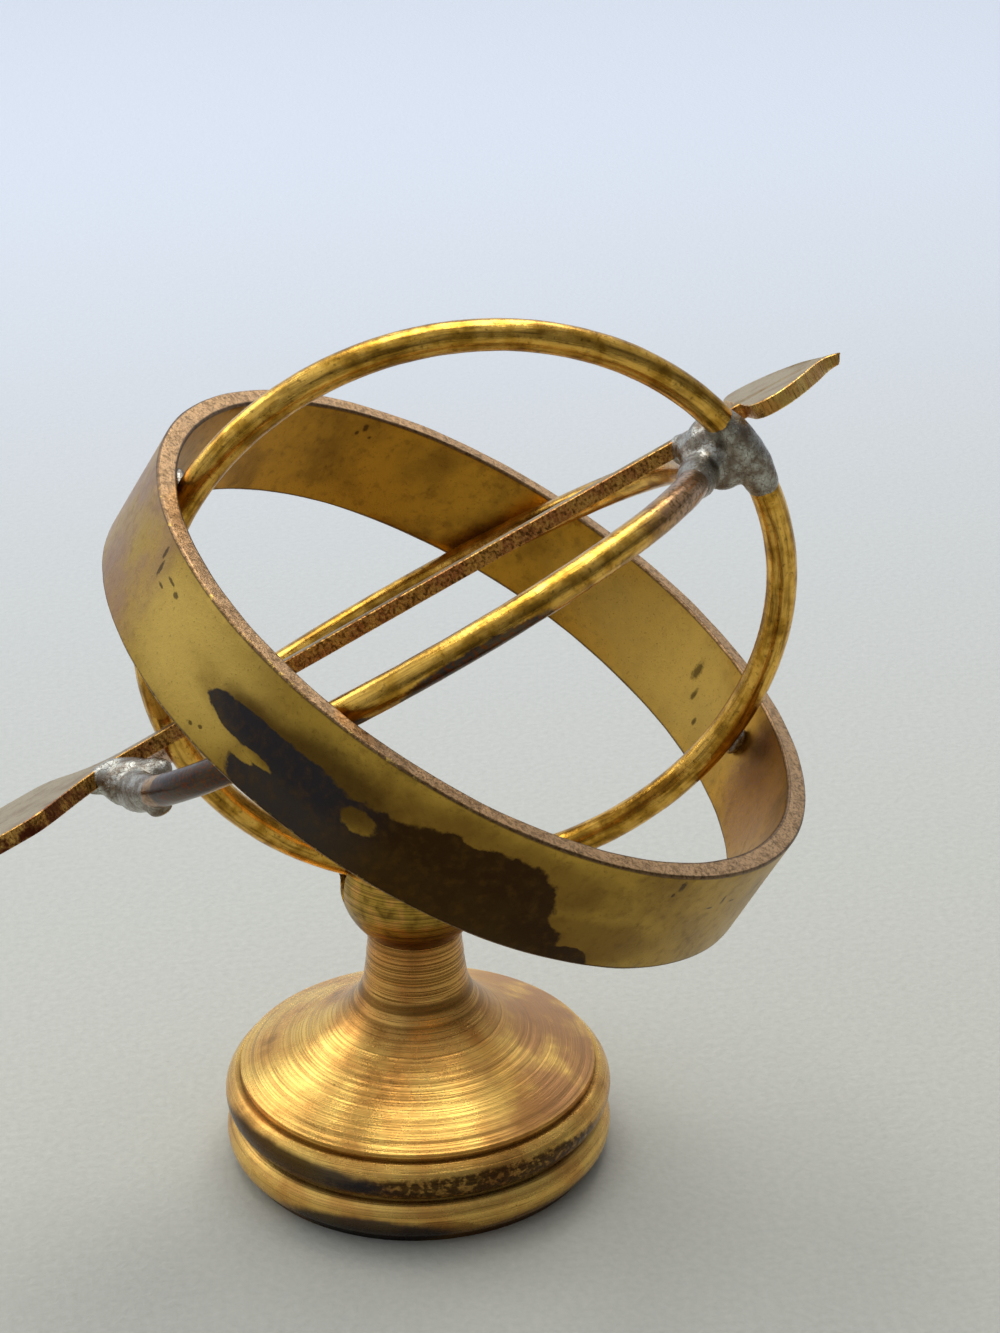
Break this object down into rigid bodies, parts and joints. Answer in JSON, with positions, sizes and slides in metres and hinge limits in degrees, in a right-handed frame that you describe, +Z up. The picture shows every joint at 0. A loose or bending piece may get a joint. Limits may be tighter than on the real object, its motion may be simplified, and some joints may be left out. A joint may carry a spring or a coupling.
{
  "type": "desktop skeleton globe on stand",
  "caption": "Skeleton globe of soldered brass hoops, a broad flat band and an arrow axis, resting in the slotted ball saddle of a turned brass stand.",
  "frame": {"origin": "centre of the stand's flat underside", "axes": "+Z up along the stand's turned axis, +X along the vertical hoop towards the arrow's head, -Y towards the side that the globe leans to"},
  "size_m": [0.0936, 0.0744, 0.0973],
  "materials": {
    "turned_brass": "bright turned brass with fine lathe rings, darkened in the grooves",
    "rod_brass": "drawn rod, satin, olive and brown tarnish",
    "band_brass": "dull olive-gold, one large dark heat stain",
    "plate_brass": "flat faces dull, edges saw-cut and coppery",
    "solder": "dull grey soft solder"
  },
  "bodies": {
    "stand": {"pedestal": "turned_brass", "saddle_ball": "turned_brass"},
    "globe": {"meridian_hoop": "rod_brass", "polar_hoop": "rod_brass", "broad_band": "band_brass", "axis_arrow": "plate_brass", "upper_pole_solder": "solder", "lower_pole_solder": "solder", "band_solder_left": "solder", "band_solder_right": "solder"}
  },
  "joints": [
    {"name": "latitude_tilt", "type": "hinge", "parent": "stand", "child": "globe", "pos_m": [0.0055, -0.0056, 0.0642], "axis": [0, 0.9845, 0.1754], "range_deg": [-35, 40]}
  ]
}
